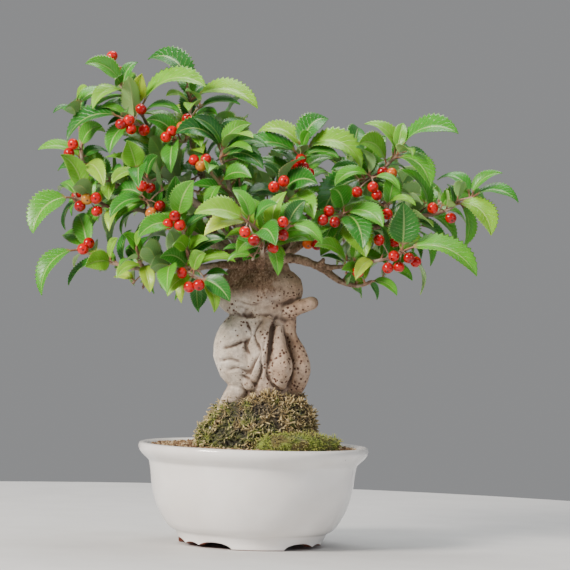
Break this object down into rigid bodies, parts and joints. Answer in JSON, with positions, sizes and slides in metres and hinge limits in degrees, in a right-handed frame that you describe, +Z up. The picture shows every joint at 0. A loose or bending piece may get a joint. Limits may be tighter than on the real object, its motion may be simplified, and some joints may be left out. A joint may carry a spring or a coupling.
{
  "type": "japanese winterberry bonsai",
  "caption": "Winterberry bonsai with a stout folded trunk, arched toothed leaves and small round red berries, in a round glazed pot.",
  "frame": {"origin": "under the middle of the whole plant's box, on the surface that the pot stands on", "axes": "+Z up, -Y towards the side that the picture shows, +X to the right of it"},
  "size_m": [0.2421, 0.1329, 0.2465],
  "materials": {
    "white_glaze": "gloss",
    "screen_plastic": "matte",
    "potting_soil": "matte",
    "old_moss": "matte",
    "fresh_moss": "matte",
    "bark": "matte",
    "leaf_green": "satin",
    "berry_skin": "gloss"
  },
  "bodies": {
    "root": {"berries_center_front": "berry_skin", "berries_center_mid": "berry_skin", "berries_center_right": "berry_skin", "berries_far_right": "berry_skin", "berries_front_left": "berry_skin", "berries_leader_left_low": "berry_skin", "berries_leader_left_mid": "berry_skin", "berries_leader_mid": "berry_skin", "berries_left_high_tip": "berry_skin", "berries_left_low_tip": "berry_skin", "berries_left_mid_inner": "berry_skin", "berries_left_mid_tip": "berry_skin", "berries_right_high_mid": "berry_skin", "berries_right_high_tip": "berry_skin", "berries_right_low_end": "berry_skin", "berries_right_mid_inner": "berry_skin", "berries_right_mid_outer": "berry_skin", "berries_right_up_mid": "berry_skin", "berries_right_up_tip": "berry_skin", "berries_top": "berry_skin", "berries_top_left": "berry_skin", "berries_trunk_left": "berry_skin", "drain_screen": "screen_plastic", "moss_cushion": "fresh_moss", "moss_mound": "old_moss", "pot": "white_glaze", "soil": "potting_soil", "spray_back_left_mid": "leaf_green", "spray_back_left_tip": "leaf_green", "spray_back_low": "leaf_green", "spray_back_mid": "leaf_green", "spray_back_right_mid": "leaf_green", "spray_back_right_tip": "leaf_green", "spray_back_tip": "leaf_green", "spray_center_front": "leaf_green", "spray_center_mid": "leaf_green", "spray_center_right": "leaf_green", "spray_center_up_tip": "leaf_green", "spray_far_right": "leaf_green", "spray_front_left": "leaf_green", "spray_leader_left_low": "leaf_green", "spray_leader_left_mid": "leaf_green", "spray_leader_mid": "leaf_green", "spray_left_high_tip": "leaf_green", "spray_left_low_inner": "leaf_green", "spray_left_low_tip": "leaf_green", "spray_left_mid_inner": "leaf_green", "spray_left_mid_tip": "leaf_green", "spray_right_high_mid": "leaf_green", "spray_right_high_tip": "leaf_green", "spray_right_low_end": "leaf_green", "spray_right_low_tip": "leaf_green", "spray_right_mid_inner": "leaf_green", "spray_right_mid_outer": "leaf_green", "spray_right_up_mid": "leaf_green", "spray_right_up_tip": "leaf_green", "spray_top": "leaf_green", "spray_top_left": "leaf_green", "spray_trunk_left": "leaf_green", "trunk": "bark"}
  },
  "joints": []
}
